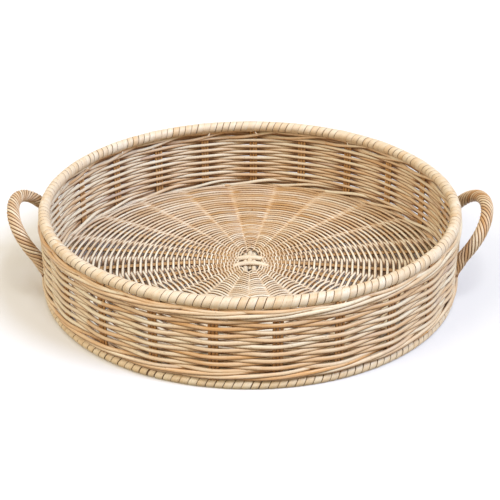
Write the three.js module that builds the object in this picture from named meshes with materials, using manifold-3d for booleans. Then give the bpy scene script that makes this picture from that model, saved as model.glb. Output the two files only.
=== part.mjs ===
// Round rattan tray: a peel-wrapped rim and foot ring, a wall woven over groups of thin canes,
// a domed woven base and two roped handles. Millimetres, +Z up. The origin is on the floor under
// the middle of the tray, +Y points to the back, and the handles stand out at +X and -X.
import * as THREE from "three";
import { mergeVertices } from "three/addons/utils/BufferGeometryUtils.js";
import Module from "manifold-3d";

const wasm = await Module();
wasm.setup();

// Overall sizes
const trayHeight = 109; // floor to the top of the rim
const rimOuterDiameter = 500;

// Clearance that touching pieces keep, and the air between the ends of two rods in line
const gap = 0.3;
const endGap = 1;

// Rim: a hoop of thick cane inside a wound skin of flat peel
const rimThickness = 13.6;
const rimPeel = 1.2;

// Foot ring: the same, thinner, and flat underneath
const footThickness = 11.2;
const footPeel = 1.2;
const footFlat = 0.5; // how much of its round section the flat underside takes away

// Wall: groups of thin upright canes with rods woven in and out of them
const stakeGroups = 23; // odd, so that one rod can wind on and swap sides on every round
const firstGroupAngle = 88.9; // degrees from +X
const canesPerGroup = 3;
const stakeCane = 3;
const wallOutsideRim = 3.2; // middle of the wall, outside the middle of the rim
const footInsideWall = 2.3; // middle of the foot ring, inside the middle of the wall
const weaver = 3.9;
const waleRounds = 2; // rounds of waling under the rim and above the foot ring
const wallRods = 4;

// Base: crossed sticks and single spokes, carrying flat woven courses
const spokeCane = 2.7;
const domeRise = 10.5;
const centreHole = 42; // across the bare crossing of the sticks
const centreWeaveDiameter = 182;
const centreWeaveThickness = 8.4;
const baseBandWidth = 7.6;
const baseBandThickness = 3;
const baseRods = 3;
const crossSpread = 26; // length of the flat crossing in the middle of each stick
const acrossSticks = [[5, 18], [6, 17]]; // groups that each left-right stick joins
const alongSticks = [[1, 10], [0, 11], [22, 12]]; // groups that each front-back stick joins

// Handles: a loop of core cane in a sheath of twisted canes
const handleSpan = 122; // between its legs at the wall
const handleReach = 40.7; // from the wall outwards
const handleRise = 51;
const handleFootHeight = 50.3; // where the legs leave the wall
const handleThickness = 15;
const handleCore = 6;
const handleFullness = 0.73; // exponent of the loop: smaller is squarer

// Facets
const ringFacets = 2 * stakeGroups;
const wrapFacet = THREE.MathUtils.degToRad(40); // widest facet round a wrapped ring's section
const hoopFacets = 6;
const handleFacets = 10;
const handleSteps = 16;
const domeSteps = 3;

// Places worked out from the sizes
const groupStep = (2 * Math.PI) / stakeGroups;
const rimRadius = (rimOuterDiameter - rimThickness) / 2;
const rimZ = trayHeight - rimThickness / 2;
const wallRadius = rimRadius + wallOutsideRim;
const footRadius = wallRadius - footInsideWall;
const footZ = footThickness / 2 - footFlat;
const footTop = footThickness - footFlat;
const rimHoop = rimThickness / 2 - rimPeel - gap;
const footHoop = footThickness / 2 - footPeel - gap;
const stakeWidth = canesPerGroup * stakeCane;
const spokeWidth = canesPerGroup * spokeCane;

const angleOf = (k) => THREE.MathUtils.degToRad(firstGroupAngle) + k * groupStep;
const outward = (angle) => new THREE.Vector3(Math.cos(angle), Math.sin(angle), 0);
const polar = (radius, angle, z) => outward(angle).multiplyScalar(radius).setZ(z);

const cane = (color) =>
  new THREE.MeshStandardMaterial({ color, roughness: 0.6, metalness: 0 });
const materials = {
  rimPeel: cane(0xead6ae),
  footPeel: cane(0xdfc898),
  hoop: cane(0xc79f6a),
  stake: cane(0xb98f5f),
  weaver: cane(0xdcc096),
  wale: cane(0xe0c8a2),
  baseWeaver: cane(0xe2c7a0),
  spoke: cane(0xc9a272),
  handle: cane(0xc89f6c),
};

const tray = new THREE.Group();

function addPiece(name, geometry, material) {
  const mesh = new THREE.Mesh(geometry, material);
  mesh.name = name;
  tray.add(mesh);
  return mesh;
}

// Routes and sections

// A route through given points that holds its section's x axis to a given side at each of them.
class Route extends THREE.Curve {
  constructor(points, sides) {
    super();
    this.points = points;
    this.sides = sides;
  }

  getPoint(t, target = new THREE.Vector3()) {
    const last = this.points.length - 1;
    const i = Math.min(Math.floor(t * last), last - 1);
    return target.lerpVectors(this.points[i], this.points[i + 1], t * last - i);
  }

  getSpacedPoints() {
    return this.points;
  }

  computeFrenetFrames() {
    const last = this.points.length - 1;
    const tangents = this.points.map((point, i) => {
      const before = this.points[Math.max(i - 1, 0)];
      const after = this.points[Math.min(i + 1, last)];
      return after.clone().sub(before).normalize();
    });
    const normals = tangents.map((tangent, i) =>
      this.sides[i].clone().addScaledVector(tangent, -this.sides[i].dot(tangent)).normalize(),
    );
    const binormals = tangents.map((tangent, i) => tangent.clone().cross(normals[i]));
    return { tangents, normals, binormals };
  }
}

function sweep(section, points, sides) {
  const extrudePath = new Route(points, sides);
  return new THREE.ExtrudeGeometry(section, { steps: points.length - 1, extrudePath });
}

const outline = (pairs) => new THREE.Shape(pairs.map(([x, y]) => new THREE.Vector2(x, y)));

function roundSection(radius, facets) {
  const pairs = [];
  for (let i = 0; i < facets; i++) {
    const angle = ((i + 0.5) / facets) * 2 * Math.PI;
    pairs.push([radius * Math.cos(angle), radius * Math.sin(angle)]);
  }
  return outline(pairs);
}

const rodSection = (across, up) =>
  outline([[across, 0], [0, up], [-across, 0], [0, -up]]);

const bandSection = (across, up) =>
  outline([[across, up], [-across, up], [-across, -up], [across, -up]]);

// Canes side by side: a crest on each and a groove between neighbours. grow thickens it all round.
function caneGroupSection(diameter, grow = 0) {
  const half = diameter / 2 + grow;
  const groove = diameter / 4 + grow;
  const edge = (canesPerGroup * diameter) / 2 + grow;
  const top = [];
  for (let i = 0; i < canesPerGroup; i++) {
    const x = (i - (canesPerGroup - 1) / 2) * diameter;
    if (i > 0) top.push([x - diameter / 2, groove]);
    top.push([x, half]);
  }
  const under = top.map(([x, y]) => [x, -y]).reverse();
  return outline([[-edge, 0], ...under.reverse(), [edge, 0], ...top.reverse()]);
}

// Rings

function ring(pairs) {
  const profile = [...pairs, pairs[0]].map(([r, z]) => new THREE.Vector2(r, z));
  const geometry = new THREE.LatheGeometry(profile, ringFacets);
  return geometry.rotateX(Math.PI / 2).rotateZ(angleOf(0) + Math.PI / 2);
}

function hoopRing(radius, z, half) {
  const pairs = [];
  for (let i = 0; i < hoopFacets; i++) {
    const angle = (i / hoopFacets) * 2 * Math.PI;
    pairs.push([radius + half * Math.cos(angle), z + half * Math.sin(angle)]);
  }
  return ring(pairs);
}

// A skin round a hoop that leaves a slot, from one angle of its section on to another, and that
// may be cut flat underneath.
function wrapRing(radius, z, outer, inner, slotFrom, slotTo, flat = 0) {
  const arc = (half, from, to) => {
    const facets = Math.ceil(Math.abs(to - from) / wrapFacet);
    const pairs = [];
    for (let i = 0; i <= facets; i++) {
      const angle = from + ((to - from) * i) / facets;
      pairs.push([radius + half * Math.cos(angle), z + half * Math.sin(angle)]);
    }
    return pairs;
  };
  const end = slotFrom + 2 * Math.PI;
  const under = 1.5 * Math.PI;
  const flatHalf = Math.acos(1 - flat / outer);
  const skin = flat
    ? [...arc(outer, slotTo, under - flatHalf), ...arc(outer, under + flatHalf, end)]
    : arc(outer, slotTo, end);
  const bore = inner / Math.cos(wrapFacet / 2); // so that the flats clear the hoop, not the corners
  return ring([...skin, ...arc(bore, end, slotTo)]);
}

// Booleans

function solidOf(geometry) {
  const bare = new THREE.BufferGeometry();
  bare.setAttribute("position", geometry.getAttribute("position"));
  bare.setIndex(geometry.index);
  const merged = mergeVertices(bare);
  const mesh = new wasm.Mesh({
    numProp: 3,
    vertProperties: merged.attributes.position.array,
    triVerts: new Uint32Array(merged.index.array),
  });
  return new wasm.Manifold(mesh);
}

function geometryOf(solid) {
  const { vertProperties, triVerts } = solid.getMesh();
  const geometry = new THREE.BufferGeometry();
  geometry.setAttribute("position", new THREE.BufferAttribute(vertProperties, 3));
  geometry.setIndex(new THREE.BufferAttribute(triVerts, 1));
  const flat = geometry.toNonIndexed();
  flat.computeVertexNormals();
  return flat;
}

// A cut can leave a crumb beside the piece, so the largest body is the piece.
function cutBy(geometry, cutters) {
  const cut = cutters.reduce((rest, cutter) => rest.subtract(cutter), solidOf(geometry));
  const bodies = cut.decompose().sort((a, b) => b.volume() - a.volume());
  return geometryOf(bodies[0]);
}

// Rim and foot ring

// The stakes pass up through a slot in the rim's skin and stop just under its hoop.
const stakeInner = wallOutsideRim - stakeCane / 2;
const stakeTop = rimZ - Math.sqrt(rimHoop ** 2 - stakeInner ** 2) - gap;
const facetSlack = wallRadius * (1 - Math.cos(groupStep / 4)); // a ring's facet against its circle
const rimSlotFrom = -Math.acos((stakeInner - gap - facetSlack) / (rimThickness / 2));
const rimSlotTo = -Math.asin((rimZ - stakeTop - gap) / (rimThickness / 2));

addPiece("rim_hoop", hoopRing(rimRadius, rimZ, rimHoop), materials.hoop);
addPiece(
  "rim_wrapping",
  wrapRing(
    rimRadius,
    rimZ,
    rimThickness / 2,
    rimThickness / 2 - rimPeel,
    rimSlotFrom,
    rimSlotTo,
  ),
  materials.rimPeel,
);

// They stand in a like slot on top of the foot ring, just over its hoop.
const footInner = footInsideWall - stakeCane / 2;
const stakeBottom = footZ + Math.sqrt(footHoop ** 2 - footInner ** 2) + gap;
const footSlotFrom = Math.asin((stakeBottom - footZ - gap) / (footThickness / 2));
const footSlotTo = Math.acos((footInner - gap - facetSlack) / (footThickness / 2));

addPiece("foot_hoop", hoopRing(footRadius, footZ, footHoop), materials.hoop);
addPiece(
  "foot_wrapping",
  wrapRing(
    footRadius,
    footZ,
    footThickness / 2,
    footThickness / 2 - footPeel,
    footSlotFrom,
    footSlotTo,
    footFlat,
  ),
  materials.footPeel,
);

// Wall

const stakeGeometry = new THREE.ExtrudeGeometry(caneGroupSection(stakeCane), {
  depth: stakeTop - stakeBottom,
  bevelEnabled: false,
});

for (let k = 0; k < stakeGroups; k++) {
  const stake = addPiece(`wall_stakes_${k + 1}`, stakeGeometry, materials.stake);
  stake.position.copy(polar(wallRadius, angleOf(k), stakeBottom));
  stake.rotation.z = angleOf(k) + Math.PI / 2;
}

// Where a rod passes a group: far enough in, and enough further out that its straight run to the
// next group still clears the group's edge.
const passIn = stakeCane / 2 + gap + weaver / 2;
const innerPass = wallRadius - passIn;
const edgeShare = stakeWidth / 2 / (innerPass * Math.sin(groupStep));
const passOut =
  (passIn + edgeShare * (wallRadius - innerPass * Math.cos(groupStep))) / (1 - edgeShare);

const spokeEndZ = footTop + gap + spokeCane / 2;
const wallBottom = spokeEndZ + spokeCane / 2 + gap;
const wallTop = rimZ - rimThickness / 2 - gap;
const wallRounds = Math.floor((wallTop - wallBottom - weaver) / (weaver + gap));
const rowPitch = (wallTop - wallBottom - weaver) / wallRounds;

const plainWeave = (k) => (k % 2 === 0 ? passOut : -passIn);
const waleWeave = (k) => (k % 3 === 0 ? -passIn : passOut);

// A rod from half a step before group `from` to half a step after group `to`.
function wallRod(from, to, weave, grow = 0) {
  const at = (k) =>
    polar(
      wallRadius + weave(k),
      angleOf(k),
      wallBottom + weaver / 2 + (rowPitch * (k + 0.5)) / stakeGroups,
    );
  const cutBack = endGap / 2 / (wallRadius * groupStep);
  const points = [at(from - 1).lerp(at(from), 0.5 + cutBack)];
  const sides = [outward(angleOf(from - 0.5))];
  for (let k = from; k <= to; k++) {
    points.push(at(k));
    sides.push(outward(angleOf(k)));
  }
  points.push(at(to).lerp(at(to + 1), 0.5 - cutBack));
  sides.push(outward(angleOf(to + 0.5)));
  return sweep(rodSection(weaver / 2 + grow, weaver / 2 + grow), points, sides);
}

const waleSteps = waleRounds * stakeGroups;
const plainSteps = wallRounds * stakeGroups - 2 * waleSteps;
const rodStarts = [];
for (let i = 0; i <= wallRods; i++) rodStarts.push(Math.round((plainSteps * i) / wallRods));

const wallRuns = [
  { name: "bottom_wale", from: 0, to: waleSteps - 1, weave: waleWeave },
  ...rodStarts.slice(1).map((end, i) => ({
    name: `wall_weaver_${i + 1}`,
    from: waleSteps + rodStarts[i],
    to: waleSteps + end - 1,
    weave: plainWeave,
  })),
  {
    name: "top_wale",
    from: waleSteps + plainSteps,
    to: 2 * waleSteps + plainSteps - 1,
    weave: waleWeave,
  },
];

for (const { name, from, to, weave } of wallRuns)
  addPiece(
    name,
    wallRod(from, to, weave),
    weave === waleWeave ? materials.wale : materials.weaver,
  );

// Base

const spokeEnd = wallRadius - stakeCane / 2 - gap;
const centreWeaveRadius = centreWeaveDiameter / 2;
const spokeStart = centreWeaveRadius + gap;

// The dome's height is straight between these radii, so canes and courses follow the same line.
const domeRadii = [0, centreHole / 2];
for (let i = 0; i <= domeSteps; i++)
  domeRadii.push(spokeStart + ((spokeEnd - spokeStart) * i) / domeSteps);

const domeHeight = (radius) => spokeEndZ + domeRise * (1 - (radius / spokeEnd) ** 2);

function baseZ(radius) {
  let i = 1;
  while (i < domeRadii.length - 1 && radius > domeRadii[i]) i++;
  const [low, high] = [domeRadii[i - 1], domeRadii[i]];
  return THREE.MathUtils.mapLinear(radius, low, high, domeHeight(low), domeHeight(high));
}

const spokeRadii = domeRadii.slice(2);

// Each stick crosses the middle flat and to one side of the others, then fans out to its groups.
function stick(ends, lane, lanes, across, level, grow = 0) {
  const lanePitch = spokeWidth + gap;
  const side = (lane - (lanes - 1) / 2) * lanePitch;
  const half = (end, way) => {
    const crossing = across
      ? new THREE.Vector3((way * crossSpread) / 2, -side, 0)
      : new THREE.Vector3(side, (way * crossSpread) / 2, 0);
    const straight = spokeRadii.map((radius) => polar(radius, angleOf(end), baseZ(radius)));
    return [crossing.setZ(baseZ(0) + level), ...straight];
  };
  const first = half(ends[0], across ? -1 : 1);
  const second = half(ends[1], across ? 1 : -1);
  const points = [...first.reverse(), ...second];
  const flatSide = across ? new THREE.Vector3(0, 1, 0) : new THREE.Vector3(1, 0, 0);
  return sweep(caneGroupSection(spokeCane, grow), points, points.map(() => flatSide));
}

const crossLevel = (spokeCane + gap) / 2;
const sticks = [
  ...acrossSticks.map((ends, i) => ({
    name: `base_stick_across_${i + 1}`,
    make: (grow) => stick(ends, i, acrossSticks.length, true, crossLevel, grow),
  })),
  ...alongSticks.map((ends, i) => ({
    name: `base_stick_along_${i + 1}`,
    make: (grow) => stick(ends, i, alongSticks.length, false, -crossLevel, grow),
  })),
];
for (const { name, make } of sticks) addPiece(name, make(0), materials.spoke);

const spokePoints = spokeRadii.map((radius) => new THREE.Vector3(radius, 0, baseZ(radius)));
const spokeGeometry = sweep(
  caneGroupSection(spokeCane),
  spokePoints,
  spokePoints.map(() => new THREE.Vector3(0, 1, 0)),
);
const stickGroups = new Set([...acrossSticks, ...alongSticks].flat());
let spokeNumber = 0;
for (let k = 0; k < stakeGroups; k++) {
  if (stickGroups.has(k)) continue;
  spokeNumber += 1;
  const spoke = addPiece(`base_spokes_${spokeNumber}`, spokeGeometry, materials.spoke);
  spoke.rotation.z = angleOf(k);
}

// The tight weave round the crossing, left plain, with a channel for each stick.
const centreHalf = centreWeaveThickness / 2;
const holeRadius = centreHole / 2;
const centreWeave = ring([
  [holeRadius, baseZ(holeRadius) - centreHalf],
  [centreWeaveRadius, baseZ(centreWeaveRadius) - centreHalf],
  [centreWeaveRadius, baseZ(centreWeaveRadius) + centreHalf],
  [holeRadius, baseZ(holeRadius) + centreHalf],
]);
addPiece(
  "base_centre_weave",
  cutBy(centreWeave, sticks.map(({ make }) => solidOf(make(gap)))),
  materials.baseWeaver,
);

// Courses from the centre weave out to the foot ring, over one group and under the next.
const firstCourse = spokeStart / Math.cos(groupStep / 2) + baseBandWidth / 2;
const lastCourse = footRadius - footThickness / 2 - gap - facetSlack - baseBandWidth / 2;
const baseRounds = Math.floor((lastCourse - firstCourse) / (baseBandWidth + gap));
const coursePitch = (lastCourse - firstCourse) / baseRounds;

function baseBand(from, to) {
  const at = (k) => {
    const radius = firstCourse + (coursePitch * (k + 0.5)) / stakeGroups;
    const run = 2 * (radius - baseBandWidth / 2) * Math.sin(groupStep / 2);
    const clear = spokeCane / 2 + gap + baseBandThickness / 2;
    const lift = clear / (1 - spokeWidth / run);
    return polar(radius, angleOf(k), baseZ(radius) + (k % 2 === 0 ? lift : -lift));
  };
  const slope = (k) => outward(angleOf(k)).setZ((-2 * domeRise * at(k).setZ(0).length()) / spokeEnd ** 2);
  const cutBack = endGap / 2 / (at(from).setZ(0).length() * groupStep);
  const points = [at(from - 1).lerp(at(from), 0.5 + cutBack)];
  const sides = [slope(from - 0.5)];
  for (let k = from; k <= to; k++) {
    points.push(at(k));
    sides.push(slope(k));
  }
  points.push(at(to).lerp(at(to + 1), 0.5 - cutBack));
  sides.push(slope(to + 0.5));
  return sweep(bandSection(baseBandWidth / 2, baseBandThickness / 2), points, sides);
}

const baseSteps = baseRounds * stakeGroups;
for (let i = 0; i < baseRods; i++) {
  const from = Math.round((baseSteps * i) / baseRods);
  const to = Math.round((baseSteps * (i + 1)) / baseRods) - 1;
  addPiece(`base_weaver_${i + 1}`, baseBand(from, to), materials.baseWeaver);
}

// Handles

const handleWall = wallRadius + stakeCane / 2 + gap; // how deep a leg reaches into the wall
const legX = Math.sqrt(handleWall ** 2 - (handleSpan / 2) ** 2);
const legRun = new THREE.Vector3(handleReach, 0, handleRise);

// The loop in the XZ side of +X, from its front leg over the top to its back leg.
function handleRoute() {
  const points = [];
  for (let i = 0; i <= handleSteps; i++) {
    const angle = (Math.PI * i) / handleSteps;
    const raised = Math.sin(angle) ** handleFullness;
    points.push(
      new THREE.Vector3(
        legX + raised * legRun.x,
        (-handleSpan / 2) * Math.cos(angle),
        handleFootHeight + raised * legRun.z,
      ),
    );
  }
  const inward = legRun.clone().normalize().multiplyScalar(-handleThickness);
  return [
    points[0].clone().add(inward),
    ...points,
    points[handleSteps].clone().add(inward),
  ];
}

const handleCutters = [
  ...wallRuns.map(({ from, to, weave }) => solidOf(wallRod(from, to, weave, gap))),
  solidOf(
    ring([
      [1, 0],
      [handleWall, 0],
      [handleWall, trayHeight],
      [1, trayHeight],
    ]),
  ),
];

for (const [side, turned] of [["right", 0], ["left", Math.PI]]) {
  const turn = new THREE.Matrix4().makeRotationZ(turned);
  const points = handleRoute().map((point) => point.applyMatrix4(turn));
  const loopNormal = new THREE.Vector3(handleRise, 0, -handleReach).applyMatrix4(turn);
  const sides = points.map(() => loopNormal);
  const sheath = roundSection(handleThickness / 2, handleFacets);
  sheath.holes.push(roundSection(handleCore / 2 + gap, hoopFacets));
  addPiece(
    `handle_${side}_core`,
    cutBy(sweep(roundSection(handleCore / 2, hoopFacets), points, sides), handleCutters),
    materials.hoop,
  );
  addPiece(
    `handle_${side}_strands`,
    cutBy(sweep(sheath, points, sides), handleCutters),
    materials.handle,
  );
}

export default tray;
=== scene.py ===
"""Looks of the round rattan tray: wound peel on the rim and foot ring, woven wall and base, roped handles.

Lengths are millimetres in the working code and become metres when a mesh is made.
"""

import math

import bpy
import numpy as np
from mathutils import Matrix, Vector


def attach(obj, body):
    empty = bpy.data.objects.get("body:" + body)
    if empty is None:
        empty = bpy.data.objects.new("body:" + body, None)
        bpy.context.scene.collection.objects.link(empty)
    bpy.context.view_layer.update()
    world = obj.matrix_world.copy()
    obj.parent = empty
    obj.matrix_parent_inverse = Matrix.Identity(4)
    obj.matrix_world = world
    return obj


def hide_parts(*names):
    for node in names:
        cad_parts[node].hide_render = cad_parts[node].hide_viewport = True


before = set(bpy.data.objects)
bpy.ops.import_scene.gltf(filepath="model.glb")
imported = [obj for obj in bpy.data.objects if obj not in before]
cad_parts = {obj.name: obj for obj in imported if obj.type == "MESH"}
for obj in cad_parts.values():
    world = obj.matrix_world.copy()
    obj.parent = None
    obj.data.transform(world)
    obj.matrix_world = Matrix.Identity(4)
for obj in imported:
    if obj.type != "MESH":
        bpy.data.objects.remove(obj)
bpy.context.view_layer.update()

MM = 0.001
TURN = 2 * math.pi
FIBRE_STEP = 731.0  # takes each cane to a part of the noise of its own

# Sizes shared with the solids
RIM_RADIUS, RIM_Z, RIM_HALF = 243.2, 102.2, 6.8
WALL_RADIUS = 246.4
FOOT_RADIUS, FOOT_Z, FOOT_HALF = 244.1, 5.1, 5.6
GROUPS = 23
STEP = TURN / GROUPS
FIRST_ANGLE = math.radians(88.9)
STAKE_LOW, STAKE_HIGH = 9.4, 96.9
ROW_PITCH = 4.289
FIRST_ROW = 15.95
WALE_STEPS = 2 * GROUPS
PLAIN_STEPS = 14 * GROUPS
WALL_RODS = 4
EDGE_RADIUS, EDGE_Z, DOME_RISE = 244.6, 12.35, 10.5
HANDLE_X, HANDLE_HALF_SPAN = 240.6, 61.0
HANDLE_REACH, HANDLE_RISE, HANDLE_FOOT = 40.7, 51.0, 50.3


def group_angle(k):
    return FIRST_ANGLE + k * STEP


def dome_z(radius):
    return EDGE_Z + DOME_RISE * (1 - (radius / EDGE_RADIUS) ** 2)


def outward(angle):
    return np.stack([np.cos(angle), np.sin(angle), np.zeros_like(angle)], -1)


def polar(radius, angle, z):
    return np.stack([radius * np.cos(angle), radius * np.sin(angle), z + 0 * angle], -1)


def unit(v):
    return v / np.maximum(np.linalg.norm(v, axis=-1, keepdims=True), 1e-9)


# Mesh making


class Bundle:
    """Collects canes and strips of peel and makes one mesh of them.

    Each point keeps "fibre", its place along and across its own cane in metres, and "tint",
    which holds how light the cane is, how grey it is and how far the point is painted brown:
    at a peel's seam, a dark joint deepened with painted shade, and as painted shade in a groove or on an
    underside.
    """

    def __init__(self):
        self.co, self.faces, self.sizes, self.fibre, self.tint = [], [], [], [], []
        self.count = 0
        self.canes = 0

    def skin(self, grid, fibre, tint):
        """A closed skin over rings of points, with both ends capped. grid is (rings, points, 3)."""
        rings, around = grid.shape[:2]
        index = self.count + np.arange(rings * around).reshape(rings, around)
        after = np.roll(index, -1, axis=1)
        quads = np.stack([index[:-1], after[:-1], after[1:], index[1:]], -1).reshape(-1)
        self.faces += [quads, index[0][::-1], index[-1]]
        self.sizes += [np.full(len(quads) // 4, 4), [around], [around]]
        self.co.append(grid.reshape(-1, 3))
        self.fibre.append(fibre.reshape(-1, 3) + [self.canes * FIBRE_STEP, 0, 0])
        self.tint.append(tint.reshape(-1, 3))
        self.count += rings * around
        self.canes += 1

    def cane(self, path, radius, side, tint, around=8, flat=1.0, shaded=()):
        """A round cane along a path, flattened across its side direction by flat.

        Each entry of shaded is (axis, high, low): painted shade makes the cane browner where its normal,
        measured along the axis, falls from high to low. The cut ends are brown too.
        """
        last = len(path) - 1
        rows = np.array([0, *range(last + 1), last])
        # The second ring and the last but one stand close to the ends, which keeps the caps flat.
        moved = path[rows]
        moved[1] = 0.93 * path[0] + 0.07 * path[1]
        moved[-2] = 0.93 * path[-1] + 0.07 * path[-2]
        radius = np.broadcast_to(np.asarray(radius, float), len(path))[rows]
        side = np.broadcast_to(side, path.shape)[rows]
        tint = tint_of(tint, len(path))[rows]
        axes = [(np.broadcast_to(axis, path.shape)[rows], high, low) for axis, high, low in shaded]
        path = moved
        radius = radius[:, None, None]
        tangent = unit(np.gradient(path, axis=0))
        side = unit(side - (side * tangent).sum(-1, keepdims=True) * tangent)
        other = np.cross(tangent, side)
        phi = TURN * np.arange(around) / around
        c, s = np.cos(phi)[None, :, None], np.sin(phi)[None, :, None]
        grid = path[:, None] + radius * (c * flat * side[:, None] + s * other[:, None])
        arc = arc_of(path)[:, None, None]
        fibre = np.concatenate([arc + 0 * c, radius * c, radius * s], -1)
        tint = np.array(np.broadcast_to(tint[:, None], grid.shape))
        normal = c * side[:, None] + s * other[:, None]
        for axis, high, low in axes:
            facing = (normal * axis[:, None]).sum(-1)
            tint[..., 2] = np.maximum(tint[..., 2], np.clip((high - facing) / (high - low), 0, 1))
        tint[[0, -1], :, 2] = 1.0
        self.skin(grid, fibre, tint)

    def make(self, name, material, slot, *nodes):
        mesh = bpy.data.meshes.new(name)
        co = np.concatenate(self.co) * MM
        loops = np.concatenate([np.asarray(f).reshape(-1) for f in self.faces])
        sizes = np.concatenate([np.asarray(n) for n in self.sizes])
        mesh.vertices.add(len(co))
        mesh.vertices.foreach_set("co", co.astype(np.float32).reshape(-1))
        mesh.loops.add(len(loops))
        mesh.loops.foreach_set("vertex_index", loops.astype(np.int32))
        mesh.polygons.add(len(sizes))
        starts = np.concatenate([[0], np.cumsum(sizes)[:-1]])
        mesh.polygons.foreach_set("loop_start", starts.astype(np.int32))
        mesh.polygons.foreach_set("use_smooth", sizes == 4)
        for label, rows, scale in (("fibre", self.fibre, MM), ("tint", self.tint, 1.0)):
            held = mesh.attributes.new(label, "FLOAT_VECTOR", "POINT")
            values = np.concatenate(rows) * scale
            held.data.foreach_set("vector", values.astype(np.float32).reshape(-1))
        mesh.update(calc_edges=True)
        mesh.validate()
        mesh.materials.append(material)
        piece = bpy.data.objects.new(name, mesh)
        bpy.context.scene.collection.objects.link(piece)
        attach(piece, "root")
        if nodes:
            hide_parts(*nodes)


def arc_of(path):
    runs = np.linalg.norm(np.diff(path, axis=0), axis=1)
    return np.concatenate([[0], np.cumsum(runs)])


def tint_of(tint, count):
    tint = np.asarray(tint, float)
    return np.broadcast_to(tint, (count, 3)) if tint.ndim == 1 else tint


def rod_tints(path, seed, mean, low, high):
    """Light and grey values along a long path that is made of several rods."""
    rng = np.random.default_rng(seed)
    arc = arc_of(path)
    tint = np.zeros((len(path), 3))
    start = -rng.uniform(0, mean)
    while start < arc[-1]:
        length = mean * rng.uniform(0.6, 1.5)
        share = (arc - start) / length
        on = (share >= 0) & (share < 1)
        level = low + (high - low) * rng.beta(2.0, 1.7)
        drift, grey, reach = rng.uniform(-0.25, 0.25), rng.uniform(0.2, 1.0), rng.uniform(25, 70)
        tail = share if rng.random() < 0.5 else 1 - share
        grey = grey if rng.random() < 0.5 else 0.0
        tint[on, 0] = level + drift * (share[on] - 0.5)
        tint[on, 1] = grey * np.exp(-((tail[on] * length / reach) ** 2))
        start += length
    return np.clip(tint, 0, 1)


def wobble(count, seed, amount, every):
    """A smooth seeded waver, one knot for every so many samples."""
    rng = np.random.default_rng(seed)
    knots = rng.uniform(-amount, amount, max(4, int(count / every) + 3))
    at = np.arange(count) / every
    low = np.minimum(at.astype(int), len(knots) - 2)
    share = at - low
    share = share * share * (3 - 2 * share)
    return knots[low] * (1 - share) + knots[low + 1] * share


# Materials


def linear(r, g, b):
    def one(c):
        c /= 255
        return c / 12.92 if c <= 0.04045 else ((c + 0.055) / 1.055) ** 2.4

    return (one(r), one(g), one(b), 1.0)


class Graph:
    """Short names for making and joining shader nodes."""

    def __init__(self, name):
        self.material = bpy.data.materials.new(name)
        self.material.use_nodes = True
        self.tree = self.material.node_tree
        self.shader = self.tree.nodes["Principled BSDF"]

    def add(self, kind, **values):
        node = self.tree.nodes.new("ShaderNode" + kind)
        for key, value in values.items():
            setattr(node, key, value)
        return node

    def put(self, socket, value):
        if isinstance(value, bpy.types.NodeSocket):
            self.tree.links.new(value, socket)
        else:
            socket.default_value = value

    def attribute(self, name):
        return self.add("Attribute", attribute_name=name).outputs["Vector"]

    def split(self, vector):
        node = self.add("SeparateXYZ")
        self.put(node.inputs[0], vector)
        return node.outputs

    def scaled(self, vector, by):
        node = self.add("VectorMath", operation="MULTIPLY")
        self.put(node.inputs[0], vector)
        self.put(node.inputs[1], by)
        return node.outputs[0]

    def noise(self, vector, detail=2.0, rough=0.5):
        node = self.add("TexNoise")
        self.put(node.inputs["Vector"], vector)
        node.inputs["Scale"].default_value = 1.0
        node.inputs["Detail"].default_value = detail
        node.inputs["Roughness"].default_value = rough
        return node.outputs["Fac"]

    def math(self, operation, a, b=0.0, c=0.0, clamp=False):
        node = self.add("Math", operation=operation, use_clamp=clamp)
        for socket, value in zip(node.inputs, (a, b, c)):
            self.put(socket, value)
        return node.outputs[0]

    def span(self, value, low, high, to_low=0.0, to_high=1.0):
        node = self.add("MapRange", clamp=True)
        self.put(node.inputs["Value"], value)
        for name, x in (("From Min", low), ("From Max", high), ("To Min", to_low), ("To Max", to_high)):
            node.inputs[name].default_value = x
        return node.outputs["Result"]

    def mix(self, share, a, b):
        node = self.add("Mix", data_type="RGBA")
        self.put(node.inputs["Factor"], share)
        self.put(node.inputs[6], a)
        self.put(node.inputs[7], b)
        return node.outputs[2]

    def bump(self, height, strength, distance):
        node = self.add("Bump")
        node.inputs["Strength"].default_value = strength
        node.inputs["Distance"].default_value = distance
        self.put(node.inputs["Height"], height)
        return node.outputs["Normal"]


# WARM_SHADE_BROWN is painted shade, the warm start of the browning on canes; the worn grey and the flecks are
# the cane's own colour.
WORN_GREY, WARM_SHADE_BROWN, FLECK_BROWN = (178, 148, 128), (184, 126, 72), (120, 84, 52)


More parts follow.
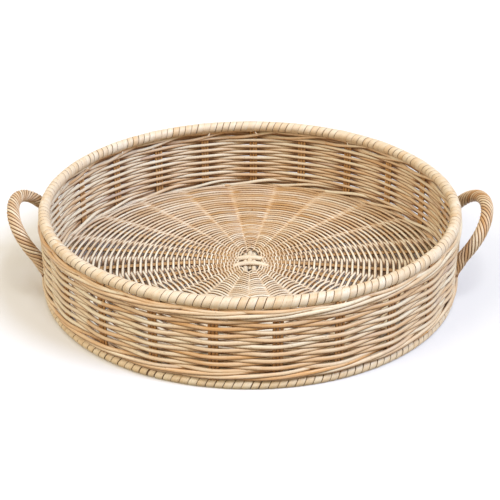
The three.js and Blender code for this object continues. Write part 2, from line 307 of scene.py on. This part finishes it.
def cane_material(name, dark, light, seam_and_shade, warm=0.7, seam_and_shade_from=0.35, seam_and_shade_share=0.8):
    """Split cane or peel: long fibres, soft blotches, small flecks and greyer, worn stretches, browned by
    painted shade and at the peel's dark seams where tint's third value is high.
    """
    g = Graph(name)
    fibre, tint = g.attribute("fibre"), g.split(g.attribute("tint"))
    streak = g.noise(g.scaled(fibre, (38, 1100, 1100)), 3.0, 0.6)
    blotch = g.noise(g.scaled(fibre, (26, 90, 90)), 2.0)
    fleck = g.noise(g.scaled(fibre, (260, 900, 900)), 1.0)
    level = g.math("MULTIPLY_ADD", g.math("SUBTRACT", streak, 0.5), 1.1, tint[0])
    level = g.math("MULTIPLY_ADD", g.math("SUBTRACT", blotch, 0.5), 0.8, level, clamp=True)
    colour = g.mix(level, linear(*dark), linear(*light))
    greyed = g.math("MULTIPLY", tint[1], g.span(blotch, 0.3, 0.6, 0.35, 0.85))
    colour = g.mix(greyed, colour, linear(*WORN_GREY))
    colour = g.mix(g.span(fleck, 0.66, 0.78, 0.0, 0.55), colour, linear(*FLECK_BROWN))
    ragged = g.noise(g.scaled(fibre, (700, 300, 300)), 1.0)
    # Painted shade from tint's third value: canes turn warm, then dark brown, on undersides, in grooves and
    # at cut ends; the peel's seams, dark joints, are deepened the same way.
    near = g.math("ADD", tint[2], g.math("MULTIPLY", g.math("SUBTRACT", ragged, 0.5), 0.5))
    if warm:
        colour = g.mix(g.span(near, 0.1, 0.65, 0.0, warm), colour, linear(*WARM_SHADE_BROWN))
    colour = g.mix(g.span(near, seam_and_shade_from, 1.0, 0.0, seam_and_shade_share), colour, linear(*seam_and_shade))
    g.put(g.shader.inputs["Base Color"], colour)
    g.put(g.shader.inputs["Roughness"], g.span(streak, 0.25, 0.75, 0.36, 0.6))
    g.put(g.shader.inputs["Normal"], g.bump(streak, 0.35, 0.0004))
    g.shader.inputs["Specular IOR Level"].default_value = 0.5
    return g.material


# The third colour of each finish is its painted shade; on the peel it is also the dark of the seams.
RIM_PEEL = cane_material(
    "rim_peel", (204, 168, 120), (226, 216, 197), (122, 80, 42), warm=0.0, seam_and_shade_from=0.7, seam_and_shade_share=0.9
)
FOOT_PEEL = cane_material(
    "foot_peel", (214, 176, 124), (234, 221, 195), (122, 80, 44), warm=0.0, seam_and_shade_from=0.7, seam_and_shade_share=0.9
)
CORE = cane_material("core_cane", (104, 70, 40), (150, 108, 66), (70, 46, 26))
STAKE = cane_material("stake_cane", (172, 124, 70), (222, 180, 124), (54, 28, 10))
WEAVE = cane_material("wall_weave", (198, 147, 85), (224, 213, 188), (84, 44, 15))
WALE = cane_material("wale_cane", (202, 151, 90), (226, 215, 190), (88, 48, 17))
SPOKE = cane_material("spoke_cane", (144, 102, 58), (208, 168, 114), (34, 18, 8))
BASE = cane_material("base_weave", (182, 141, 88), (230, 222, 201), (56, 30, 11))
ROPE = cane_material("handle_cane", (182, 138, 88), (230, 217, 190), (50, 25, 9), seam_and_shade_share=0.95)


# Hoops and their wound peel


def hoop(name, radius, z, half, node):
    angle = np.linspace(0, TURN, 181)
    path = polar(radius + 0 * angle, angle, z)
    bundle = Bundle()
    bundle.cane(path, half, outward(angle), (0.5, 0.1, 0.0), around=12)
    bundle.make(name, CORE, "core_cane", node)


def wound_peel(bundle, radius, z, half, turns, width, seed, lashes=None, narrow=(), floor=None):
    """One flat peel wound round a ring, its seams leaning with the winding.

    lashes gives how far some turns also reach down over the edge of the wall, and which. The turns
    in narrow leave a dark gap beside them.
    """
    rng = np.random.default_rng(seed)
    around = 28
    across = np.array([-0.5, -0.45, -0.36, 0.0, 0.36, 0.45, 0.5, 0.4, 0.0, -0.4])
    sink = np.array([0.6, 0.16, 0.05, 0.0, 0.05, 0.16, 0.6, 1.0, 0.85, 1.0])
    # How brown each point across the strip is at the seams: a dark joint, deepened with painted shade.
    seam_and_shade = np.array([1.0, 0.78, 0.1, 0.0, 0.1, 0.78, 1.0, 1.0, 1.0, 1.0])
    count = turns * around + 1
    turn = np.arange(count) / around
    psi = TURN * (turn - 0.25) + math.pi
    ring = FIRST_ANGLE + TURN * turn / turns
    number = np.minimum(turn.astype(int), turns - 1)
    wide = width * (1 + 0.02 * rng.standard_normal(turns))[number] + wobble(count, seed, 0.1, 9)
    lean = 1.45 * (0.2 * np.sin(2 * psi) - np.cos(psi))
    ring = ring + (lean + wobble(count, seed + 1, 0.2, 12)) / radius
    wide = np.where(np.isin(number, narrow), wide * 0.8, wide)
    lift = rng.uniform(0.0, 0.2, turns)[number]
    shade = np.clip(0.6 + 0.11 * rng.standard_normal(turns), 0.1, 1)[number]
    grey = (rng.uniform(0, 0.7, turns) ** 5)[number]
    seam = (1 - 0.24 * rng.random(turns) ** 2)[number]
    nx, nz = np.cos(psi), np.sin(psi)
    px, pz = half * nx, half * nz
    if lashes:
        drop, at = lashes
        on = np.isin(number, at)
        pz = np.where(on, pz - drop * np.clip(-nz, 0, 1) ** 1.4 * (0.55 + 0.45 * nx), pz)
        px = np.where(on, px * (1 - 0.12 * np.clip(-nz, 0, 1)), px)
        wide = np.where(on, wide * 1.15, wide)
        lift = np.where(on, 0.3, lift)
    grid = np.empty((count, len(across), 3))
    fibre = np.empty_like(grid)
    tint = np.empty_like(grid)
    arc = turn * TURN * half
    for j, (w, d, e) in enumerate(zip(across, sink, seam_and_shade)):
        depth = lift - d
        angle = ring + w * wide / radius
        grid[:, j] = polar(radius + px + depth * nx, angle, z + pz + depth * nz)
        fibre[:, j] = np.stack([arc, w * wide, 0 * arc], -1)
        tint[:, j] = np.stack([shade, grey * 0.5, seam * e], -1)
    if floor is not None:
        grid[..., 2] = np.maximum(grid[..., 2], floor)
    bundle.skin(grid[:, ::-1], fibre[:, ::-1], tint[:, ::-1])


RIM_TURNS, FOOT_TURNS = 172, 163
hoop("rim_hoop_cane", RIM_RADIUS, RIM_Z, 5.5, "rim_hoop")
hoop("foot_hoop_cane", FOOT_RADIUS, FOOT_Z, 4.2, "foot_hoop")

lash_turns = [round(k * RIM_TURNS / GROUPS) for k in range(GROUPS)]
rim = Bundle()
wound_peel(
    rim, RIM_RADIUS, RIM_Z, RIM_HALF - 0.3, RIM_TURNS,
    TURN * RIM_RADIUS / RIM_TURNS * 0.965, 11, lashes=(2.3, lash_turns),
)
tail_rng = np.random.default_rng(21)
for k in range(GROUPS):
    # Short tails of peel stick out beside some lashings, inside and outside.
    for side in (-1, 1):
        if tail_rng.random() < 0.45:
            continue
        s = np.linspace(0, 1, 8)
        angle = group_angle(k) + side * 0.016 + 0.012 * (s - 0.5) * tail_rng.choice((-1, 1))
        drop = RIM_Z - 6.2 - tail_rng.uniform(1.6, 2.8) * np.sin(math.pi * s * 0.7)
        path = polar(RIM_RADIUS + side * (4.9 + 0.6 * s), angle, drop)
        rim.cane(path, 0.75, outward(angle), (1.0, 0.0, 0.0), around=6, flat=0.5)
rim.make("rim_peel_winding", RIM_PEEL, "rim_peel", "rim_wrapping")

foot = Bundle()
wound_peel(
    foot, FOOT_RADIUS, FOOT_Z, FOOT_HALF - 0.2, FOOT_TURNS,
    TURN * FOOT_RADIUS / FOOT_TURNS * 0.965, 12, narrow=(70, 82, 131), floor=0.0,
)
foot.make("foot_peel_winding", FOOT_PEEL, "foot_peel", "foot_wrapping")

# Wall

UP = np.array([0.0, 0.0, 1.0])
# Painted shade: canes are browner on their undersides, where shade falls.
PAINTED_UNDERSIDE_SHADE = (UP, 0.16, -0.74)
STAKE_SPACING = 3.75

for k in range(GROUPS):
    rng = np.random.default_rng(200 + k)
    bundle = Bundle()
    z = np.linspace(STAKE_LOW, STAKE_HIGH, 24)
    along_wall = np.array([-math.sin(group_angle(k)), math.cos(group_angle(k)), 0.0])
    inward = -outward(np.array([group_angle(k)]))[0]
    # Painted shade where the canes of a group meet and on their outer face.
    stake_shade = ((along_wall, -0.5, -1.0), (-along_wall, -0.5, -1.0), (inward, 0.3, -2.4))
    for cane in (-1, 0, 1):
        lean = rng.uniform(-0.25, 0.25)
        along = cane * STAKE_SPACING + lean + wobble(len(z), 300 + 3 * k + cane, 0.15, 6)
        angle = group_angle(k) + along / WALL_RADIUS
        path = polar(WALL_RADIUS + wobble(len(z), 500 + 3 * k + cane, 0.12, 6), angle, z)
        tint = (rng.uniform(0.2, 0.9), 0.0, 0.0)
        out = outward(np.full(len(z), group_angle(k)))
        bundle.cane(path, rng.uniform(1.86, 1.96), out, tint, flat=0.66, shaded=stake_shade)
    bundle.make(f"stakes_{k + 1}", STAKE, "stake_cane", f"wall_stakes_{k + 1}")

SAMPLES = 16  # points from one group to the next
ROD_SWING, ROD_HALF = 2.52, 2.6
ROD_LOW, ROD_HIGH = 22.6, 85.8


def row_z(p):
    """Height of the winding rod, held between the two wales at its ends."""
    return np.clip(FIRST_ROW + ROW_PITCH * (p + 0.5) / GROUPS, ROD_LOW, ROD_HIGH)


def plain_rod(bundle, start, end, seed):
    """A rod that winds up the wall, outside the even groups and inside the odd ones.

    Its swing and waver change round the tray, and so do its painted light and shade, fitted to one view of
    it: the tint is lighter at the left and right and darker at the front.
    """
    p = np.linspace(start, end, int((end - start) * SAMPLES) + 1)
    swing = np.cos(math.pi * p)
    swing = np.sign(swing) * np.abs(swing) ** 1.4
    angle = group_angle(p)
    side = np.cos(angle) ** 2
    z = row_z(p) - 0.52 * swing + wobble(len(p), seed, 0.38, SAMPLES) * (1 + 0.4 * side)
    reach = ROD_SWING - (0.19 + 0.09 * np.cos(angle)) * side
    path = polar(WALL_RADIUS + 0.1 + reach * swing, angle, z)
    radius = ROD_HALF - 0.14 * np.abs(swing) + 0.1 * swing + wobble(len(p), seed + 1, 0.22, 2 * SAMPLES)
    tints = rod_tints(path, seed + 2, 430, 0.2, 1.0)
    # Painted light and shade: the tint is lighter at the tray's left and right and darker at its front.
    front = np.clip(-np.sin(angle), 0, 1) ** 9
    tints[:, 0] = np.clip(tints[:, 0] + (0.14 - 0.05 * np.cos(angle)) * side - 0.16 * front, 0, 1)
    # Painted shade, deeper at the left and right: on undersides, and on the faces turned towards the group
    # that the rod passes.
    deep = (1 + 0.8 * side)[:, None]
    hidden = swing * np.abs(swing)
    below = (deep * PAINTED_UNDERSIDE_SHADE[0], *PAINTED_UNDERSIDE_SHADE[1:])
    shaded = (below, (deep * hidden[:, None] * outward(angle), -0.05, -1.0))
    bundle.cane(path, radius, outward(angle), tints, around=10, flat=0.8, shaded=shaded)


# Each rod starts and ends on the side of the wall that is away from the tray's front view.
rod_marks = [-13, 81, 160, 241, PLAIN_STEPS + 13]
for i in range(WALL_RODS):
    bundle = Bundle()
    first, last = WALE_STEPS + rod_marks[i], WALE_STEPS + rod_marks[i + 1]
    plain_rod(bundle, first - 0.05, last + 0.05, 40 + 10 * i)
    bundle.make(f"wall_rods_{i + 1}", WEAVE, "wall_weave", f"wall_weaver_{i + 1}")


def wale(middle, slant, swing_out, inner, seed):
    """Three rods that each pass outside two groups and inside the third, rising as they go."""
    p = 12 + np.linspace(0, 3 * GROUPS, 3 * GROUPS * SAMPLES + 1)
    q = np.mod(p, 3)
    swing = np.where(q < 1, -np.cos(math.pi * q), np.where(q > 2, np.cos(math.pi * (q - 2)), 1.0))
    rise = np.where((q > 0.5) & (q < 2.5), q - 1.5, 0.0)
    fall = np.where(q <= 0.5, q, q - 3)
    rise = np.where((q > 0.5) & (q < 2.5), rise, -np.sin(math.pi * fall))
    angle = group_angle(p)
    z = middle + slant * rise + inner * np.clip(-swing, 0, 1) + wobble(len(p), seed, 0.3, SAMPLES)
    path = polar(WALL_RADIUS + 0.1 + swing_out * swing, angle, z)
    radius = 2.48 + wobble(len(p), seed + 1, 0.2, 2 * SAMPLES)
    bundle = Bundle()
    tints = rod_tints(path, seed + 2, 380, 0.15, 1.0)
    # Painted shade on the undersides and on the faces turned towards the group that the rod passes.
    shaded = (PAINTED_UNDERSIDE_SHADE, (swing[:, None] * outward(angle), -0.25, -1.3))
    bundle.cane(path, radius, outward(angle), tints, around=10, flat=0.85, shaded=shaded)
    return bundle


def filler_round(bundle, z, inset, first, seed):
    """One plain round that closes the band's open side, outside the group it starts from."""
    p = np.linspace(0, GROUPS - 0.4, GROUPS * SAMPLES)
    angle = group_angle(p + first)
    height = z + wobble(len(p), seed, 0.3, SAMPLES)
    path = polar(WALL_RADIUS + inset + 2.6 * np.cos(math.pi * p), angle, height)
    radius = 2.2 + wobble(len(p), seed + 1, 0.15, 2 * SAMPLES)
    tints = rod_tints(path, seed + 2, 380, 0.2, 0.9)
    # Painted shade on the undersides.
    bundle.cane(path, radius, outward(angle), tints, around=10, flat=0.85, shaded=(PAINTED_UNDERSIDE_SHADE,))


band = wale(89.3, 4.0, 2.8, -1.0, 91)
filler_round(band, 94.2, 0.0, 0, 92)
filler_round(band, 92.6, 0.0, 1, 93)
band.make("wale_under_rim", WALE, "wale_cane", "top_wale")
band = wale(17.2, 3.9, 3.2, 1.4, 95)
filler_round(band, 12.8, -0.6, 0, 96)
filler_round(band, 13.6, -0.8, 1, 97)
band.make("wale_over_foot", WALE, "wale_cane", "bottom_wale")

# Base


def spoke_spread(radius):
    """Distance between the canes of one spoke: they crowd together near the middle."""
    return np.minimum(2.4, 0.62 * STEP * radius / 3)


def spoke_half(radius):
    return np.minimum(1.15, 0.62 * spoke_spread(radius))


def hole_stretch(radius, angle):
    """The bare crossing is longer from front to back, and so are the first courses round it."""
    oval = 1 / np.hypot(np.cos(angle) / 0.75, np.sin(angle) / 1.45)
    fade = np.clip((120 - radius) / 96, 0, 1) ** 2
    return 1 + fade * (oval - 1)


SPOKE_START = 24.0


def spoke_canes(bundle, k):
    """The three canes of one group, from under the crossing out to the foot ring."""
    seed = 700 + 7 * k
    rng = np.random.default_rng(seed)
    start = SPOKE_START * hole_stretch(SPOKE_START, group_angle(k))
    radius = np.linspace(start, EDGE_RADIUS, 40)
    for cane in (-1, 0, 1):
        across = cane * spoke_spread(radius) + wobble(len(radius), seed + cane + 1, 0.2, 6)
        angle = group_angle(k) + across / radius
        path = polar(radius, angle, dome_z(radius) + wobble(len(radius), seed + cane + 4, 0.12, 6))
        tint = (rng.uniform(0.15, 0.9), 0.0, 0.0)
        # Painted shade on the lower sides of each spoke cane.
        bundle.cane(path, spoke_half(radius), UP, tint, flat=0.85, shaded=((UP, 0.75, -0.1),))


ACROSS, ALONG = [(5, 18), (6, 17)], [(1, 10), (0, 11), (22, 12)]
joined = {f"base_stick_across_{i}": ends for i, ends in enumerate(ACROSS, 1)}
joined.update({f"base_stick_along_{i}": ends for i, ends in enumerate(ALONG, 1)})


def centre_cane(name, across, offset, bow, level, low, high, half, dip=3):
    """One of the thick canes that cross in the middle, its ends running under the weave."""
    s = np.linspace(-1, 1, 41)
    along = np.where(s < 0, -low * s, high * s)
    side = offset + bow * s * s
    z = level - 5.0 * np.abs(s) ** dip
    path = np.stack([along, side, z] if across else [side, along, z], -1)
    bundle = Bundle()
    # Painted shade on the cane's lower side.
    bundle.cane(path, half, UP, (0.7, 0.0, 0.0), around=14, flat=0.9, shaded=((UP, 0.05, -0.5),))
    bundle.make(name, BASE, "spoke_cane")


CENTRE_Z = dome_z(0.0)
for node, ends in joined.items():
    bundle = Bundle()
    for end in ends:
        spoke_canes(bundle, end)
    bundle.make(node.replace("base_stick", "stick"), SPOKE, "spoke_cane", node)
centre_cane("centre_cane_across_1", True, 8.0, -2.0, CENTRE_Z + 0.1, -21, 21, 3.6)
centre_cane("centre_cane_across_2", True, -8.0, -8.0, CENTRE_Z + 0.8, -23, 26, 3.2, dip=5)
centre_cane("centre_cane_along_1", False, -5.6, -1.0, CENTRE_Z - 3.6, -36, 40, 3.0)
centre_cane("centre_cane_along_2", False, 4.9, 1.0, CENTRE_Z - 3.6, -36, 40, 3.0)
centre_cane("centre_cane_along_3", False, 0.0, 0.0, CENTRE_Z - 1.8, -9, 42, 3.2)

taken = {end for ends in joined.values() for end in ends}
number = 0
for k in range(GROUPS):
    if k in taken:
        continue
    number += 1
    bundle = Bundle()
    spoke_canes(bundle, k)
    bundle.make(f"spoke_{number}", SPOKE, "spoke_cane", f"base_spokes_{number}")

# The base's courses wind outwards, closer and finer near the middle.
FIRST_COURSE, LAST_COURSE = 18.5, 242.4


def course_pitch(radius):
    return np.interp(radius, [20, 50, 90, 130, 170, 240], [2.2, 2.45, 2.95, 3.4, 3.7, 4.15])


def course_radii():
    radii = [FIRST_COURSE]
    while radii[-1] < LAST_COURSE:
        radii.append(radii[-1] + course_pitch(radii[-1]) / GROUPS)
    return np.array(radii)


course_radius = course_radii()
course_steps = len(course_radius) - 1


def base_rod(bundle, start, end, seed):
    """A rod that winds outwards, over one group and under the next.

    Its bend changes round the tray, and so do its painted light and shade, fitted to one view of it: the tint
    is lighter at the left and right and darker at the back and towards the middle.
    """
    samples = 10
    p = np.linspace(start, end, int((end - start) * samples) + 1)
    radius = np.interp(p, np.arange(len(course_radius)), course_radius)
    half = course_pitch(radius) * 0.49 + wobble(len(p), seed, 0.14, 3 * samples)
    swing = np.cos(math.pi * p)
    swing = np.sign(swing) * np.abs(swing) ** 0.8
    angle = group_angle(p)
    clear = 0.78 * (spoke_half(radius) + half) + 0.05
    z = dome_z(radius) + clear * swing
    drift = wobble(len(p), seed + 2, 0.1, samples) * course_pitch(radius)
    between = 2 * np.abs(p - np.round(p))
    bend = 0.007 + 0.011 * np.sin(group_angle(p)) ** 2
    drift = drift + bend * radius * np.clip((238 - radius) / 30, 0, 1) * (between ** 2 - 0.4)
    path = polar(radius * hole_stretch(radius, angle) + drift, angle, z)
    tints = rod_tints(path, seed + 1, 360, 0.35, 0.95)
    # Painted light and shade: lighter at the tray's left and right and darker at its back; the line after
    # next darkens it towards the middle.
    painted_light_and_shade = 0.26 * np.cos(angle) ** 2 - 0.42 * np.clip(np.sin(angle), 0, 1)
    tints[:, 0] += painted_light_and_shade * np.clip(radius / 120, 0, 1)
    tints[:, 0] -= 0.3 * np.clip((60 - radius) / 40, 0, 1)
    tints[:, 1] *= 0.5
    tints[:, 0] = np.clip(tints[:, 0], 0, 1)
    # Painted shade where the rod dips under a group, on its lower faces and on its sides.
    side = np.maximum(np.sqrt(np.abs(np.cos(angle))), 0.8 * np.sin(angle))[:, None] * outward(angle)
    shaded = (
        (swing[:, None] * UP, 0.0, -0.7),
        (np.clip(0.6 + swing, 0, 1)[:, None] * UP, 0.05, -0.6),
        (side, -0.55, -1.0),
        (-side, -0.55, -1.0),
    )
    bundle.cane(path, half, UP, tints, around=10, flat=0.85, shaded=shaded)


base_marks = np.searchsorted(course_radius, [FIRST_COURSE, 91, 147, 197, LAST_COURSE + 9])
base_marks = np.minimum(base_marks, course_steps)
base_nodes = ["base_centre_weave", "base_weaver_1", "base_weaver_2", "base_weaver_3"]
for i, node in enumerate(base_nodes):
    bundle = Bundle()
    base_rod(bundle, base_marks[i] + (0.01 if i else 0), base_marks[i + 1] - 0.01, 800 + 5 * i)
    bundle.make(f"base_courses_{i + 1}", BASE, "base_weave", node)

# Handles

ROPE_CANES = 9
ROPE_HALF = 7.5
CANE_HALF = 1.86
CANE_FLAT = 0.9
ROPE_LAY = math.radians(34)


def handle_line(side_sign):
    """The middle of the rope from inside the wall at the front, over the top and back in."""
    s = np.linspace(0.0, math.pi, 121)
    raised = np.sin(s) ** 0.73
    loop = np.stack(
        [HANDLE_X + HANDLE_REACH * raised, -HANDLE_HALF_SPAN * np.cos(s), HANDLE_FOOT + HANDLE_RISE * raised],
        -1,
    )
    keep = raised > 0.12
    loop = loop[keep]
    foot = np.array([[240.8, -64.4, 42.8], [238.6, -67.5, 35.3], [236.2, -70.5, 28.8]])
    back = foot * [1, -1, 1]
    line = np.concatenate([foot[::-1], loop, back])
    line[:, 0] *= side_sign
    return even_line(line, 200)


def even_line(line, count):
    """The same line with evenly spaced points, rounded off where it bends."""
    arc = arc_of(line)
    at = np.linspace(0, arc[-1], count)
    line = np.stack([np.interp(at, arc, line[:, i]) for i in range(3)], -1)
    for _ in range(6):
        line[1:-1] = (line[:-2] + 2 * line[1:-1] + line[2:]) / 4
    return line


def handle(name, side_sign):
    line = handle_line(side_sign)
    tangent = unit(np.gradient(line, axis=0))
    across = np.array([HANDLE_RISE, 0.0, -HANDLE_REACH])
    across = unit(across * [side_sign, 1, 1])
    normal = unit(across - (tangent * across).sum(-1, keepdims=True) * tangent)
    other = np.cross(tangent, normal)
    arc = arc_of(line)
    end = np.minimum(arc, arc[-1] - arc)
    full = np.clip(end / 34, 0, 1)
    full = full * full * (3 - 2 * full)
    ply = ROPE_HALF - CANE_FLAT * CANE_HALF
    spread = 1.2 + (ply - 1.2) * full
    pace = math.tan(ROPE_LAY) / ply
    core = Bundle()
    core.cane(line[8:-8], 4.0, normal[8:-8], (0.3, 0, 0), around=10)
    core.make(f"{name}_heart", CORE, "core_cane", f"{name}_core")
    rope = Bundle()
    rng = np.random.default_rng(17 if side_sign > 0 else 18)
    for i in range(ROPE_CANES):
        turn = TURN * i / ROPE_CANES - pace * arc
        path = line + spread[:, None] * (
            np.cos(turn)[:, None] * normal + np.sin(turn)[:, None] * other
        )
        half = CANE_HALF * (0.55 + 0.45 * full) * rng.uniform(0.95, 1.05)
        radial = path - line
        shade = np.clip(0.5 + 0.2 * rng.standard_normal(), 0.1, 0.95)
        tint = (shade, 0.15 * rng.random(), 0.0)
        # Painted shade in the grooves where the canes of the rope meet.
        groove = (unit(radial), 0.86, 0.42)
        rope.cane(path, half, radial, tint, around=16, flat=CANE_FLAT, shaded=(groove,))
    rope.make(f"{name}_rope", ROPE, "handle_cane", f"{name}_strands")


handle("handle_right", 1)
handle("handle_left", -1)

# Floor, light and camera


def floor_plane():
    """A plain pale floor, the same all over, that sends no light back up onto the tray."""
    mesh = bpy.data.meshes.new("studio_floor")
    half = 40.0
    corners = [(-half, -half, 0), (half, -half, 0), (half, half, 0), (-half, half, 0)]
    mesh.from_pydata(corners, [], [(0, 1, 2, 3)])
    g = Graph("studio_floor")
    place = g.add("TexCoord").outputs["Object"]
    tone = g.noise(g.scaled(place, (1.5, 1.5, 1.5)), 2.0)
    pale = g.mix(tone, (0.75, 0.75, 0.75, 1), (0.77, 0.77, 0.77, 1))
    g.put(g.shader.inputs["Base Color"], pale)
    g.shader.inputs["Roughness"].default_value = 0.9
    g.shader.inputs["Specular IOR Level"].default_value = 0.0
    mesh.materials.append(g.material)
    floor = bpy.data.objects.new("studio_floor", mesh)
    bpy.context.scene.collection.objects.link(floor)
    floor.location.z = -0.0002
    floor.visible_diffuse = False


def sun(name, towards, strength, spread, colour=(1, 1, 1)):
    """Even studio light from far off, its shadows as soft as its spread in degrees."""
    light = bpy.data.lights.new(name, "SUN")
    light.energy = strength
    light.angle = math.radians(spread)
    light.color = colour
    lamp = bpy.data.objects.new(name, light)
    lamp.rotation_euler = Vector(towards).to_track_quat("Z", "Y").to_euler()
    bpy.context.scene.collection.objects.link(lamp)


floor_plane()
# The lights are tinted, not neutral: they were fitted to the colours of one view.
sun("light_top", (0.1, -0.42, 1.05), 1.1, 25, (0.95, 0.98, 1.02))
sun("light_key", (0.9, -0.42, 1.05), 2.08, 24, (0.83, 0.99, 1.36))
sun("light_fill", (-1.0, -0.5, 0.8), 1.42, 40, (1.0, 0.91, 0.79))


def studio_world():
    """Warm surroundings, dimmer below, so that the undersides stay in shade."""
    world = bpy.data.worlds.new("studio")
    bpy.context.scene.world = world
    world.use_nodes = True
    tree = world.node_tree
    direction = tree.nodes.new("ShaderNodeTexCoord").outputs["Generated"]
    parts = tree.nodes.new("ShaderNodeSeparateXYZ")
    level = tree.nodes.new("ShaderNodeMapRange")
    tree.links.new(direction, parts.inputs[0])
    tree.links.new(parts.outputs["Z"], level.inputs["Value"])
    for name, value in (("From Min", -0.3), ("From Max", 0.3), ("To Min", 0.37), ("To Max", 0.58)):
        level.inputs[name].default_value = value
    tree.links.new(level.outputs["Result"], tree.nodes["Background"].inputs["Strength"])
    tree.nodes["Background"].inputs["Color"].default_value = (1.0, 0.84, 0.57, 1.0)


studio_world()

camera_data = bpy.data.cameras.new("camera")
camera_data.lens = 90.3
camera_data.sensor_width = 36.0
camera_data.clip_end = 50.0
camera = bpy.data.objects.new("camera", camera_data)
camera.location = (0.0, -1.3548, 0.7390)
camera.rotation_euler = (math.radians(62.63), 0.0, 0.0)
bpy.context.scene.collection.objects.link(camera)
bpy.context.scene.camera = camera
bpy.context.scene.view_settings.view_transform = "Standard"
